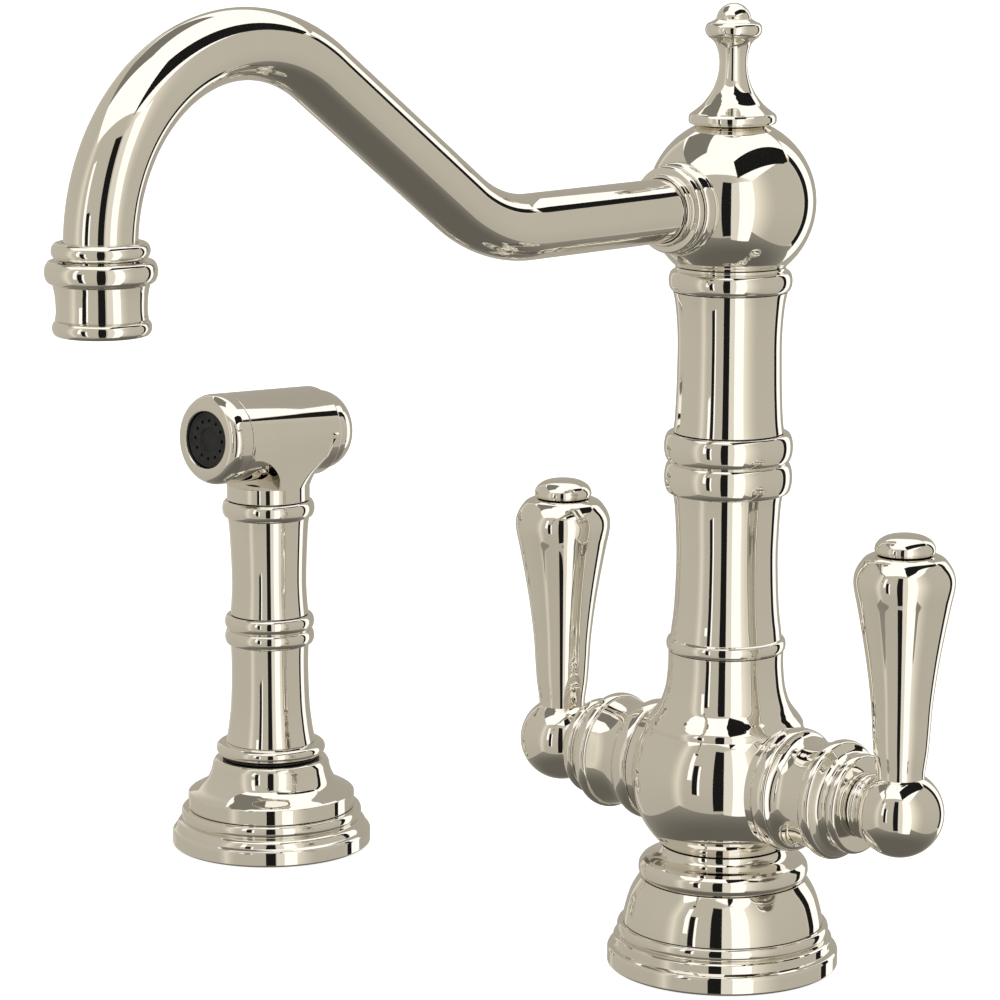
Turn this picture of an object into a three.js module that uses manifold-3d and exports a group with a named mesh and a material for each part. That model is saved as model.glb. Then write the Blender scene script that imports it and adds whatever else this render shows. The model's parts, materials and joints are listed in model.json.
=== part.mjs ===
// A two-handle kitchen mixer with a swan-neck swivel spout and a separate hand spray.
// Millimetres, +Z up. The origin is the centre of the mixer's base on the worktop.
// The spout points along -Y, the levers sit on the X axis and the hand spray stands on the -X side.
import * as THREE from "three";
import { mergeVertices } from "three/addons/utils/BufferGeometryUtils.js";
import Module from "manifold-3d";

const wasm = await Module();
wasm.setup();

// Driving dimensions
const SPRAY_X = -203.2;
const LEVER_X = 67.5;
const PORT_Z = 60.7;
const SPOUT_Z = 239;
const SPOUT_REACH = 253;
const SPOUT_RADIUS = 9.525;
const SPOUT_WALL = 1.4;
const SPOUT_SLOPE = THREE.MathUtils.degToRad(35.5);
const SPOUT_CORNER = 107.7;
const BEND_RADIUS = 50;
const CROWN_RADIUS = 49.5;
const CROWN_Z = 246.3;
const BULB_RADIUS = 29;
const BULB_Z = 60.5;
const BALL_RADIUS = 25.64;
const BALL_Z = 239.2;
const HUB_RADIUS = 13.4;
const HEAD_RADIUS = 15.4;
const HEAD_Z = 144.6;
const HEAD_TILT = THREE.MathUtils.degToRad(3);
const HANDLE_BORE = 8;
const JETS = 12;
const JET_CIRCLE = 6.5;
const JET_RADIUS = 0.6;
const TUBE_SOCKET = SPOUT_RADIUS + 0.4;
const COLUMN_BORE_LOW = 12;
const COLUMN_BORE_HIGH = 13.4;
const ROUND = 16;
const SMALL = 10;

// Materials
function finish(color, roughness, metalness) {
  return { color, roughness, metalness };
}
const NICKEL = finish(0xc9c0ad, 0.08, 1);
const BRASS = finish(0xb8954f, 0.35, 1);
const STEEL = finish(0xa9abad, 0.3, 1);
const RUBBER = finish(0x1b1b1c, 0.85, 0);
const BLACK_PLASTIC = finish(0x161719, 0.45, 0);
const WHITE_PLASTIC = finish(0xd9d7cf, 0.5, 0);
const CERAMIC = finish(0xe9e6dd, 0.4, 0);

const faucet = new THREE.Group();

// Outlines: [radius, height] points, from the bottom of a turned piece to its top
function arc(radius, height, r, from, to, steps) {
  const points = [];
  for (let i = 0; i <= steps; i++) {
    const a = THREE.MathUtils.degToRad(from + ((to - from) * i) / steps);
    points.push([radius + r * Math.cos(a), height + r * Math.sin(a)]);
  }
  return points;
}

function bead(root, peak, low, high, steps = 3) {
  const points = [];
  for (let i = 0; i <= steps; i++) {
    const a = Math.PI * (i / steps - 0.5);
    const height = (low + high) / 2 + ((high - low) / 2) * Math.sin(a);
    points.push([root + (peak - root) * Math.cos(a), height]);
  }
  return points;
}

// Geometry helpers
function outward(geometry) {
  const clean = new THREE.BufferGeometry();
  clean.setAttribute("position", geometry.getAttribute("position").clone());
  if (geometry.index) clean.setIndex(geometry.index.clone());
  const merged = mergeVertices(clean, 1e-4);
  const position = merged.getAttribute("position");
  const corner = (i) => new THREE.Vector3().fromBufferAttribute(position, i);
  const kept = [];
  let volume = 0;
  for (let i = 0; i < merged.index.count; i += 3) {
    const [a, b, c] = [0, 1, 2].map((k) => merged.index.getX(i + k));
    if (a === b || b === c || c === a) continue;
    volume += corner(a).dot(corner(b).cross(corner(c)));
    kept.push([a, b, c]);
  }
  const order = volume < 0 ? ([a, b, c]) => [a, c, b] : (face) => face;
  merged.setIndex(kept.flatMap(order));
  return merged;
}

function solidOf(geometry) {
  const closed = outward(geometry);
  const mesh = new wasm.Mesh({
    numProp: 3,
    vertProperties: new Float32Array(closed.getAttribute("position").array),
    triVerts: new Uint32Array(closed.index.array),
  });
  return new wasm.Manifold(mesh);
}

function geometryOf(solid) {
  const mesh = solid.getMesh();
  const geometry = new THREE.BufferGeometry();
  geometry.setAttribute("position", new THREE.BufferAttribute(mesh.vertProperties, 3));
  geometry.setIndex(new THREE.BufferAttribute(mesh.triVerts, 1));
  return geometry;
}

// A turned piece about +Z. With a bore, the outline closes on itself through the bore's own outline.
function turned(outer, bore = null, segments = ROUND) {
  const first = outer[0];
  const last = outer[outer.length - 1];
  const loop = bore
    ? [...outer, ...[...bore].reverse(), first]
    : [...(first[0] > 0 ? [[0, first[1]]] : []), ...outer, ...(last[0] > 0 ? [[0, last[1]]] : [])];
  const lathe = new THREE.LatheGeometry(loop.map(([r, h]) => new THREE.Vector2(r, h)), segments);
  return outward(lathe.rotateX(Math.PI / 2));
}

function straightBore(radius, low, high) {
  return [[radius, low], [radius, high]];
}

function rod(radius, low, high, segments = SMALL) {
  return turned(straightBore(radius, low, high), null, segments);
}

function pipe(outer, inner, low, high, segments = SMALL) {
  return turned(straightBore(outer, low, high), straightBore(inner, low, high), segments);
}

// Turn a +Z piece so that its axis points along +X or -X, along -Y, or along the spray head's
// axis, which rises a little towards the front, to its front or its rear
const alongX = (geometry, side) => geometry.rotateY((side * Math.PI) / 2);
const alongFront = (geometry) => geometry.rotateX(Math.PI / 2);
const alongHead = (geometry) => geometry.rotateX(Math.PI / 2 - HEAD_TILT);
const alongHeadRear = (geometry) => geometry.rotateX(-Math.PI / 2 - HEAD_TILT);

function cut(geometry, ...tools) {
  return geometryOf(tools.reduce((solid, tool) => solid.subtract(solidOf(tool)), solidOf(geometry)));
}

function joined(...geometries) {
  return geometryOf(geometries.map(solidOf).reduce((a, b) => a.add(b)));
}

function add(name, geometry, look, [x, y, z] = [0, 0, 0]) {
  const material = new THREE.MeshStandardMaterial(look);
  const mesh = new THREE.Mesh(geometry, material);
  mesh.name = name;
  mesh.position.set(x, y, z);
  faucet.add(mesh);
}

// Base of the mixer
function addBase() {
  const band = [[35.7, 0], [36.1, 0.4], [36.1, 5.2], [35.3, 6.1]];
  const step = [[34.2, 6.5], [34.2, 9.1], [32.6, 9.6]];
  const flange = [...band, ...step, ...bead(32.3, 33.1, 9.8, 13.6)];
  const underside = [[31, 0], [31, 2.5], [27, 2.5], [27, 0], [24.5, 0], [24.5, 13.6]];
  add("base_flange", turned(flange, underside), NICKEL);
  add("base_gasket", pipe(30.6, 27.4, 0, 2.2, ROUND), RUBBER);

  const dome = [[31.2, 14], [31.2, 15.2], [29.9, 20.4], [29, 23], [27.4, 25.6], [25.9, 28]];
  add("base_dome", turned(dome, [[27, 14], [25.4, 21], [21.5, 28]]), NICKEL);

  const saucer = [[25.2, 28.3], [26.2, 29.6], [26.4, 31], [26.1, 32.8], [24.8, 34.3]];
  const fillet = [[22.2, 35], [20.3, 36.3], [19.4, 38.3]];
  add("base_collar", turned([...saucer, ...fillet], straightBore(COLUMN_BORE_LOW, 28.3, 38.3)), NICKEL);
}

// Mixing body: a bulb with a flared neck, two threaded ports and a central chamber
function addMixerBody() {
  const bulb = arc(0, BULB_Z, BULB_RADIUS, -48.2, 34, 8);
  const flare = [[22.6, 80], [21, 81.6], [19.5, 83.5], [18.6, 86.7], [18.1, 90.5]];
  const neck = straightBore(17.8, 94, 100.4);
  const shell = turned([...bulb, ...flare, ...neck], straightBore(COLUMN_BORE_LOW, bulb[0][1], 100.4));
  const ports = [1, -1].map((side) => alongX(rod(18.2, 14, 24.7, ROUND), side).translate(0, 0, PORT_Z));
  const bores = [1, -1].map((side) => alongX(rod(11, 5, 30, ROUND), side).translate(0, 0, PORT_Z));
  const chamber = rod(COLUMN_BORE_LOW, 30, 110, ROUND);
  add("mixer_body", cut(joined(shell, ...ports), chamber, ...bores), NICKEL);
}

// Column between the mixing body and the spout
function addColumn() {
  const foot = bead(17.6, 18.45, 100.7, 104.5);
  const lower = [[16.9, 107], [16.05, 116], [15.65, 128], [15.85, 138], [16.3, 146], [16.9, 149.7]];
  add("column_lower", turned([...foot, ...lower], straightBore(COLUMN_BORE_LOW, 100.7, 149.7)), NICKEL);

  const rings = [...bead(18.1, 19.65, 150, 159.4), ...bead(18.1, 19.76, 159.8, 168.6)];
  add("column_middle_collar", turned(rings, straightBore(COLUMN_BORE_LOW, 150, 168.6)), NICKEL);

  const upper = [[17, 168.9], [16.4, 175], [16.05, 186], [15.85, 195], [16.4, 206], [17.5, 211.8]];
  add("column_upper", turned(upper, straightBore(COLUMN_BORE_HIGH, 168.9, 211.8)), NICKEL);

  const top = [...bead(17.4, 18.84, 212.1, 218.5), [16.85, 219.5]];
  add("column_top_collar", turned(top, straightBore(COLUMN_BORE_HIGH, 212.1, 219.5)), NICKEL);

  add("riser_tube", pipe(8, 6.6, 80, 194), BRASS);
  add("swivel_bush", pipe(13, 10.2, 210, 219.5, ROUND), WHITE_PLASTIC);
}

// Centre line of the spout, as [distance in front of the column, height]: a straight run,
// an upward bend, a slope and the swan-neck arc down to the outlet
function spoutRoute() {
  const slope = THREE.MathUtils.radToDeg(SPOUT_SLOPE);
  const bendStart = SPOUT_CORNER - BEND_RADIUS * Math.tan(SPOUT_SLOPE / 2);
  const bend = arc(bendStart, SPOUT_Z + BEND_RADIUS, BEND_RADIUS, -90, slope - 90, 8);
  const crown = arc(SPOUT_REACH - CROWN_RADIUS, CROWN_Z, CROWN_RADIUS, 90 + slope, 0, 8);
  return [[14, SPOUT_Z], ...bend, ...crown, [SPOUT_REACH, 239.9]];
}

function spoutPath() {
  const places = spoutRoute().map(([front, height]) => new THREE.Vector3(0, -front, height));
  const path = new THREE.CurvePath();
  for (let i = 1; i < places.length; i++) {
    path.add(new THREE.LineCurve3(places[i - 1], places[i]));
  }
  return path;
}

function addSpout() {
  const sphere = arc(0, BALL_Z, BALL_RADIUS, -48.6, 64.7, 9);
  const ball = turned([[16.85, 219.9], ...sphere], straightBore(10, 219.9, sphere[sphere.length - 1][1]));
  const socket = alongFront(rod(TUBE_SOCKET, 2, 30, ROUND)).translate(0, 0, SPOUT_Z);
  const flat = new THREE.BoxGeometry(60, 20, 60).translate(0, -32.2, BALL_Z);
  add("spout_ball", cut(ball, socket, flat), NICKEL);

  add("swivel_spigot", pipe(9.6, 7, 196, 228, ROUND), BRASS);
  for (const [name, z] of [["swivel_o_ring_lower", 199], ["swivel_o_ring_upper", 205]]) {
    add(name, turned(bead(11.4, 12.6, -1.3, 1.3), straightBore(9.95, -1.3, 1.3)), RUBBER, [0, 0, z]);
  }

  const root = [0, 0, SPOUT_Z];
  const seat = [[13.4, 22.5], ...bead(13, 14, 22.9, 27.9)];
  add("spout_seat_ring", alongFront(turned(seat, straightBore(TUBE_SOCKET, 22.5, 27.9))), NICKEL, root);
  const lock = [...bead(12.2, 13.1, 28.2, 31.1), [10.9, 31.3], [10.8, 33.3]];
  add("spout_lock_ring", alongFront(turned(lock, straightBore(TUBE_SOCKET, 28.2, 33.3))), NICKEL, root);

  const section = new THREE.Shape().absarc(0, 0, SPOUT_RADIUS, 0, 2 * Math.PI);
  section.holes.push(new THREE.Path().absarc(0, 0, SPOUT_RADIUS - SPOUT_WALL, 0, 2 * Math.PI));
  const sweep = { extrudePath: spoutPath(), steps: 32, curveSegments: 6, bevelEnabled: false };
  add("spout_tube", outward(new THREE.ExtrudeGeometry(section, sweep)), NICKEL);
}

function addFinial() {
  add("finial_bush", pipe(9.6, 3.4, 251, 261.8), BRASS);
  const stud = straightBore(3, 252.5, 262.7);
  const disc = [[12.6, 262.7], [13.3, 263.4], [13.3, 265.3], [12.5, 266.2]];
  const flare = [[9.3, 268.6], [7.4, 271], [5.4, 274.6], [4.5, 278], [4.2, 281], [4.5, 284], [5.4, 286.6]];
  const knob = [...bead(7, 8.6, 288.6, 293.2), ...arc(0, 293.6, 5.3, 8, 90, 4)];
  add("finial", turned([...stud, ...disc, ...flare, ...knob]), NICKEL);
}

function addNozzle() {
  const at = [0, -SPOUT_REACH, 0];
  const collar = bead(10.8, 12.64, 243.9, 248.3);
  add("nozzle_collar", turned(collar, straightBore(TUBE_SOCKET, 243.9, 248.3)), NICKEL, at);

  const lip = bead(11.5, 12.7, 224.5, 228.6);
  const waist = [[11.7, 229.4], [11.66, 231.5], [11.9, 235], [12.4, 237.4]];
  const shoulder = bead(12.9, 14.42, 237.9, 243.6);
  const outlet = [[10.2, 224.5], [10.2, 238], [8.4, 238], [8.4, 239.4]];
  const bore = [...outlet, [TUBE_SOCKET, 239.4], [TUBE_SOCKET, 243.6]];
  add("nozzle_housing", turned([...lip, ...waist, ...shoulder], bore), NICKEL, at);

  const insert = [[0, 226.4], [8.4, 226.4], [8.6, 225.2], [9.8, 225.2], [9.8, 235.3]];
  add("aerator_insert", turned(insert, null, SMALL), BLACK_PLASTIC, at);
  add("aerator_washer", pipe(9.8, 7.6, 235.6, 237.6), RUBBER, at);
}

// One valve and lever; side is -1 for hot and +1 for cold
function addHandle(prefix, side) {
  const port = [0, 0, PORT_Z];
  const turn = (geometry) => alongX(geometry, side);

  const ring = bead(18.1, 19.1, 25.1, 30.2);
  const ringBore = [[15.4, 25.1], [15.4, 27], [11.6, 27], [11.6, 30.2]];
  add(`${prefix}_port_ring`, turn(turned(ring, ringBore)), NICKEL, port);

  const cone = [[17.7, 30.5], [16.3, 33], [16.2, 36], [16.9, 39.5], [17.2, 42]];
  const waist = [...bead(17.2, 18.4, 42.4, 46.6), [15, 47.2], [14.2, 49.6]];
  const nose = [...bead(14.2, 15.3, 50.2, 54), [8, 54.3]];
  const seat = [[11, 30.5], [11, 50], [4.9, 50], [4.9, 54.3]];
  add(`${prefix}_bonnet`, turn(turned([...cone, ...waist, ...nose], seat)), NICKEL, port);

  add(`${prefix}_ceramic_discs`, turn(pipe(8.4, 3, 17.5, 21.6)), CERAMIC, port);
  const cartridge = [[10.4, 22], [10.4, 45], [4.4, 45], [4.4, 38]];
  add(`${prefix}_cartridge`, turn(turned([[0, 22], ...cartridge, [0, 38]], null, SMALL)), BRASS, port);
  add(`${prefix}_spindle`, turn(rod(4, 38.4, 63.4)), BRASS, port);

  const collar = [[9.3, 54.7], [10, 55.4], [10, 57], [9.2, 57.8]];
  const sphere = arc(0, LEVER_X, HUB_RADIUS, -46, 90, 8);
  const socket = [[0, 63.8], [4.4, 63.8], [4.4, 54.7]];
  const hub = turned([...socket, ...collar, ...sphere]);
  const studHole = rod(3.4, 5.3, 15).translate(side * LEVER_X, 0, 0);
  const screwHole = rod(2, -15, -5.3).translate(side * LEVER_X, 0, 0);
  const flat = new THREE.BoxGeometry(30, 30, 10).translate(side * LEVER_X, 0, 15.9);
  add(`${prefix}_lever_hub`, cut(turn(hub), studHole, screwHole, flat), NICKEL, port);
  add(`${prefix}_lever_screw`, rod(1.6, -12.6, -5.6, 8), STEEL, [side * LEVER_X, 0, PORT_Z]);

  const at = [side * LEVER_X, 0, 0];
  const stud = straightBore(3, 66.4, 71.95);
  const stem = [[7.3, 71.95], [7.5, 74], [8.3, 80], [9.1, 92.7], [10.4, 103.7], [11.5, 111], [13.1, 120]];
  const belly = [[14.2, 125.6], [15.15, 130], [14.95, 133], [14.35, 134.8], [13.4, 136.6], [11.9, 138.5]];
  const crown = [[8.4, 139.6], [2.6, 139.6], [2.6, 135.4]];
  add(`${prefix}_lever_arm`, turned([...stud, ...stem, ...belly, ...crown, [0, 135.4]]), NICKEL, at);

  const capStud = straightBore(2.2, 135.8, 139.9);
  const dome = [[8.4, 139.9], [9, 140.9], [8.6, 142.7], [6.6, 144.7], [3.6, 145.6], [0, 145.8]];
  add(`${prefix}_lever_cap`, turned([...capStud, ...dome]), NICKEL, at);
}

// Deck holder of the hand spray
function addSprayHolder() {
  const at = [SPRAY_X, 0, 0];
  const band = [[34.1, 0], [34.5, 0.4], [34.5, 5], [33.7, 5.8]];
  const step = [[33.2, 6.2], [32.2, 8.5], [30.9, 9.1]];
  const flange = [...band, ...step, ...bead(30.6, 31.4, 9.4, 13.2)];
  const underside = [[29.5, 0], [29.5, 2.5], [25.5, 2.5], [25.5, 0], [22, 0], [22, 13.2]];
  add("spray_base_flange", turned(flange, underside), NICKEL, at);
  add("spray_base_gasket", pipe(29.1, 25.9, 0, 2.2, ROUND), RUBBER, at);

  const wall = [[28.9, 13.6], [28.9, 18.7], [27, 19.7], [24.8, 20.8], [23.3, 21.8]];
  const throat = [[22.2, 23], [21.2, 25], [20.3, 27.5], [20.2, 28.8], [19.4, 30.7]];
  add("spray_holder_bell", turned([...wall, ...throat], straightBore(15.2, 13.6, 30.7)), NICKEL, at);

  const sleeve = [[14.8, 2], [14.8, 31], [18.3, 31], [18.3, 31.8]];
  add("spray_guide_sleeve", turned(sleeve, straightBore(13.1, 2, 31.8)), BLACK_PLASTIC, at);
}

// Handle of the hand spray, stacked from turned pieces
function addSprayHandle() {
  const at = [SPRAY_X, 0, 0];
  const stacked = (name, outer) => {
    const bore = straightBore(HANDLE_BORE, outer[0][1], outer[outer.length - 1][1]);
    add(name, turned(outer, bore), NICKEL, at);
  };
  stacked("spray_ferrule", [[12.6, 6], [12.6, 32.1], ...bead(17.4, 18.9, 32.1, 36.3), [15.6, 36.6]]);
  const lower = [[15.3, 36.9], [14.4, 43.4], [13.8, 47], [13.55, 52], [13.3, 62], [13.5, 71.1]];
  stacked("spray_handle_lower", lower);
  stacked("spray_middle_ring", [...bead(14.2, 15.45, 71.4, 76.4), ...bead(14.2, 15.45, 76.8, 81.7)]);
  stacked("spray_handle_upper", [[13.4, 82], [12.8, 92], [13, 100], [13.3, 107], [14, 115.8]]);
  stacked("spray_neck_ring", bead(14.6, 15.9, 116.1, 121.9));
  add("spray_hose_nipple", pipe(7.4, 4, 4, 20), BRASS, at);
  add("spray_waterway", pipe(6.4, 4.8, 22, 121), WHITE_PLASTIC, at);
}

// T-shaped head: a barrel, the neck and a web that fills the corners between them
function addSprayHead() {
  const at = [SPRAY_X, 0, HEAD_Z];
  const barrelOutline = [[14.9, -21], [HEAD_RADIUS, -19], [HEAD_RADIUS, 21.1]];
  const barrel = alongHead(turned(barrelOutline));
  const neckFoot = 122.3 - HEAD_Z;
  const webFoot = 126 - HEAD_Z;
  const neck = rod(14.3, neckFoot, -4, ROUND);
  const web = new THREE.Shape();
  web.moveTo(-20.5, 0);
  web.absarc(-20.5, webFoot, 13.5, Math.PI / 2, 0, true);
  web.lineTo(7, webFoot);
  web.absarc(27, webFoot + 1.4, 20, Math.PI, 0.7 * Math.PI, true);
  web.lineTo(15, 0);
  const slab = new THREE.ExtrudeGeometry(web, { depth: 24.8, bevelEnabled: false, curveSegments: 8 });
  slab.translate(0, 0, -12.4).rotateY(Math.PI / 2).rotateX(Math.PI / 2);
  const buttonRecess = alongHead(rod(14.3, -25, -12, ROUND));
  const valveBore = alongHead(rod(7.5, -14, 12, ROUND));
  const faceBore = alongHead(rod(10.2, 10, 25, ROUND));
  const riser = rod(HANDLE_BORE, -30, -2, ROUND);
  const body = joined(barrel, neck, slab);
  add("spray_head", cut(body, buttonRecess, valveBore, faceBore, riser), NICKEL, at);

  const side = straightBore(HEAD_RADIUS, 21.4, 25.8);
  const edge = [[14.6, 27.8], [13.2, 29.1], [11.4, 29.5], [10.7, 29.5]];
  const ringBore = straightBore(9.9, 21.4, 29.2);
  add("spray_face_ring", alongHead(turned([...side, ...edge], ringBore)), NICKEL, at);

  const plate = rod(9.5, 24.6, 28.4, ROUND);
  const jets = Array.from({ length: JETS }, (_, i) => {
    const a = (2 * Math.PI * i) / JETS;
    return rod(JET_RADIUS, 20, 32, 6).translate(JET_CIRCLE * Math.cos(a), JET_CIRCLE * Math.sin(a), 0);
  });
  add("spray_plate", alongHead(cut(plate, ...jets)), BLACK_PLASTIC, at);
  add("spray_valve_seat", alongHead(pipe(7.1, 3.8, 8, 11.5)), BRASS, at);
  add("spray_valve_spring", alongHead(pipe(6.4, 5, -7.5, 0)), STEEL, at);
}

function addSprayButton() {
  const at = [SPRAY_X, 0, HEAD_Z];
  const skirt = [[13.9, 16.4], [13.9, 24.6]];
  const dome = [[13.4, 27.2], [12, 29.5], [9.2, 31.3], [4.9, 32.3], [0, 32.5]];
  add("spray_button", alongHeadRear(turned([...skirt, ...dome])), NICKEL, at);
  add("spray_plunger", alongHeadRear(rod(3, -5.5, 16.1)), BRASS, at);
}

addBase();
addMixerBody();
addColumn();
addSpout();
addFinial();
addNozzle();
addHandle("hot", -1);
addHandle("cold", 1);
addSprayHolder();
addSprayHandle();
addSprayHead();
addSprayButton();

export default faucet;
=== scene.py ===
"""Looks of a two-handle kitchen mixer with a swan-neck spout and a separate hand spray in nickel.

Metres, in the frame of the CAD model: +Z up, the spout along -Y, the levers on the X axis.
Outlines are in millimetres: radius and height of a turned piece, from its bottom to its top.
"""
import json
import math

import bmesh
import bpy
from mathutils import Matrix, Vector


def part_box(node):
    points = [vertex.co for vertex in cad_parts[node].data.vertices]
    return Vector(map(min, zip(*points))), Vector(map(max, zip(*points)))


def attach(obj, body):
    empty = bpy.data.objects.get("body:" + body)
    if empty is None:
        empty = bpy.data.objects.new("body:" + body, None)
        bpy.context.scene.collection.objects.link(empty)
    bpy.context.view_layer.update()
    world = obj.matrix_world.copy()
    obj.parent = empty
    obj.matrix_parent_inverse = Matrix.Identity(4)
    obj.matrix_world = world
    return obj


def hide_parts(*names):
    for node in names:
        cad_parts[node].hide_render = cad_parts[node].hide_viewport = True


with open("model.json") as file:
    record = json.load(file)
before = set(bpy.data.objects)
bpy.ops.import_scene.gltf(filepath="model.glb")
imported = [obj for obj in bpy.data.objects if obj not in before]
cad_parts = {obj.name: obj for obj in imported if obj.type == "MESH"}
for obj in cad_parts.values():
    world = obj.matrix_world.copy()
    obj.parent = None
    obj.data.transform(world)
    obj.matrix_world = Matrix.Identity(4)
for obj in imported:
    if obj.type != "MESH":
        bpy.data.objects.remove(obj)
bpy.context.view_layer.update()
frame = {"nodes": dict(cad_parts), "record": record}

MM = 0.001


def box_centre(node):
    low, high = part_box(node)
    return (low + high) / 2


# Turned pieces: segments round the axis and round the tube, the size of an eased corner, the turn that
# counts as a corner and the steps across it.
ROUND = 128
TUBE_SEGMENTS = 96
FINE_EDGE = 0.22
SHARP_TURN = math.radians(20)
EASE_STEPS = 4

# Places and radii of the main shapes, in millimetres.
SPRAY_X = box_centre("spray_base_flange").x / MM
LEVER_X = box_centre("cold_lever_arm").x / MM
PORT_Z = box_centre("cold_port_ring").z / MM
SPOUT_Z = box_centre("spout_seat_ring").z / MM
REACH = -box_centre("nozzle_housing").y / MM
HEAD_Z = 144.6
HEAD_TILT = math.radians(3)
BULB_Z, BULB_R = 60.5, 29.0
BALL_Z, BALL_R = 239.2, 25.64
HUB_R = 13.4
HEAD_R = 15.4
TUBE_R, TUBE_WALL = 9.525, 1.4
TUBE_SOCKET = TUBE_R + 0.15
COLUMN_BORE = 12.0
UPPER_BORE = 13.4
HANDLE_BORE = 8.0
PORT_BORE = 11.0
BASE_NECK_R, COLUMN_FOOT_R = 19.45, 17.8
BALL_FOOT_R, BALL_CROWN_R = 16.9, 10.6
HUB_NECK_R = 9.05

# The spout's centre line: a level start, a bend up to the slope and a crown that ends above the nozzle.
SLOPE = math.radians(35.5)
CORNER, BEND_R = 107.7, 50.0
CROWN_Z, CROWN_R = 246.3, 49.5
TUBE_START, TUBE_LEVEL, TUBE_END = 12.0, 26.0, 240.3

# The spray head: the web between neck and barrel, and the nozzle plate with its jets.
NECK_R = 14.3
WEB_FOOT, WEB_BOTTOM, WEB_TOP = 126.0, 127.3, HEAD_Z
WEB_FRONT, FRONT_FILLET = 20.5, 13.5
REAR_FOOT, REAR_RISE, REAR_FILLET, REAR_ROUNDING = 124.0, 12.6, 16.0, 1.0
WEB_LEVELS, WEB_COUNT, WEB_SIDE = 48, 24, 10
WEB_CREASE = math.radians(32)
PLATE_R, PLATE_EASE = 9.45, 0.15
PLATE_CREASE = math.radians(30)
JETS, JET_CIRCLE, JET_R = 12, 6.5, 0.6
JET_MIDDLE, JET_DEPTH, JET_SEGMENTS = 26.3, 8.0, 20

# The camera, in metres.
CAMERA_PLACE = Vector((0.70366, -0.87143, 0.35587))
CAMERA_AZIMUTH = math.radians(42.50)
CAMERA_PITCH = math.radians(10.57)
CAMERA_ROLL = math.radians(0.08)
CAMERA_LENS, CAMERA_SENSOR, CAMERA_CLIP = 133.3, 36, 0.05

# The studio, in metres: strengths of its surfaces, the box of its room, and its lights and ground.
WARM = (1.0, 0.935, 0.80)
CREAM = (1, 0.95, 0.85)
NEUTRAL = (1.0, 0.985, 0.955)
WALL, WALL_CORNER, WALL_FAR, WALL_FOOT = 0.56, 1.05, 0.44, 0.90
FLOOR_MIDDLE, FLOOR_EDGE = 0.14, 0.30
SOFTBOX, SOFTBOX_SIDE, BLACK, GREY = 1.25, 0.83, 0.012, 0.22
ROOM_HALF, ROOM_FLOOR, ROOM_TOP = 0.69, -0.42, 0.85
ROOM_TURN = -17
PANEL_FOOT, PANEL_TOP, SOFTBOX_TOP = -0.34, 0.78, 0.565
GROUND_HALF, GROUND_DROP, GROUND_GREY, GROUND_GLOW = 15.0, 0.0004, 0.5, 0.85
KEY_PLACE, KEY_AIM = Vector((0.7, -0.5, 1.3)), Vector((0, 0, 0.15))
KEY_SIZE, KEY_ENERGY = 0.9, 9


# --- camera ---------------------------------------------------------------------------------------

def make_camera():
    data = bpy.data.cameras.new("camera")
    data.lens = CAMERA_LENS
    data.sensor_width = CAMERA_SENSOR
    data.clip_start = CAMERA_CLIP
    camera = bpy.data.objects.new("camera", data)
    turn = Matrix.Rotation(CAMERA_AZIMUTH, 4, "Z") @ Matrix.Rotation(math.pi / 2 - CAMERA_PITCH, 4, "X")
    camera.matrix_world = Matrix.Translation(CAMERA_PLACE) @ turn @ Matrix.Rotation(CAMERA_ROLL, 4, "Z")
    bpy.context.scene.collection.objects.link(camera)
    bpy.context.scene.camera = camera


# --- node helpers ---------------------------------------------------------------------------------

def node(tree, kind, **values):
    made = tree.nodes.new(kind)
    for key, value in values.items():
        setattr(made, key, value)
    return made


def feed(tree, value, socket):
    if hasattr(value, "is_linked"):
        tree.links.new(value, socket)
    else:
        socket.default_value = value


def math_node(tree, operation, *values):
    made = node(tree, "ShaderNodeMath", operation=operation)
    for value, socket in zip(values, made.inputs):
        feed(tree, value, socket)
    return made.outputs[0]


def step_up(tree, value, edge, soft):
    made = node(tree, "ShaderNodeMapRange", interpolation_type="SMOOTHSTEP")
    feed(tree, value, made.inputs["Value"])
    made.inputs["From Min"].default_value = edge - soft
    made.inputs["From Max"].default_value = edge + soft
    return made.outputs["Result"]


def paint(tree, under, over, mask):
    """under where the mask is 0 and over where it is 1."""
    made = node(tree, "ShaderNodeMix", data_type="FLOAT")
    feed(tree, mask, made.inputs[0])
    feed(tree, under, made.inputs[2])
    feed(tree, over, made.inputs[3])
    return made.outputs[0]


# --- studio ---------------------------------------------------------------------------------------

def studio_matrix(azimuth):
    """A frame whose +X points away from the object at that azimuth, and whose +Y points to its left.

    Azimuths are in degrees, anticlockwise from the camera's side.
    """
    return Matrix.Rotation(CAMERA_AZIMUTH - math.pi / 2 + math.radians(azimuth), 4, "Z")


def emission_material(name, strength, tint):
    material = bpy.data.materials.new(name)
    material.use_nodes = True
    tree = material.node_tree
    tree.nodes.clear()
    glow = node(tree, "ShaderNodeEmission")
    glow.inputs["Color"].default_value = (*tint, 1)
    feed(tree, strength(tree) if callable(strength) else strength, glow.inputs["Strength"])
    tree.links.new(glow.outputs[0], node(tree, "ShaderNodeOutputMaterial").inputs["Surface"])
    return material


def stage_quad(name, corners, turn, material):
    mesh = bpy.data.meshes.new(name)
    mesh.from_pydata(corners, [], [(0, 1, 2, 3)])
    mesh.materials.append(material)
    quad = bpy.data.objects.new(name, mesh)
    quad.matrix_world = turn
    bpy.context.scene.collection.objects.link(quad)
    quad.visible_camera = False
    quad.visible_shadow = False


def upright_panel(name, azimuth, distance, left, right, low, high, strength, tint=NEUTRAL):
    """A standing card or softbox, square to its azimuth, from left to right of that line."""
    corners = [(distance, left, low), (distance, right, low), (distance, right, high), (distance, left, high)]
    stage_quad(name, corners, studio_matrix(azimuth), emission_material(name, strength, tint))


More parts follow.
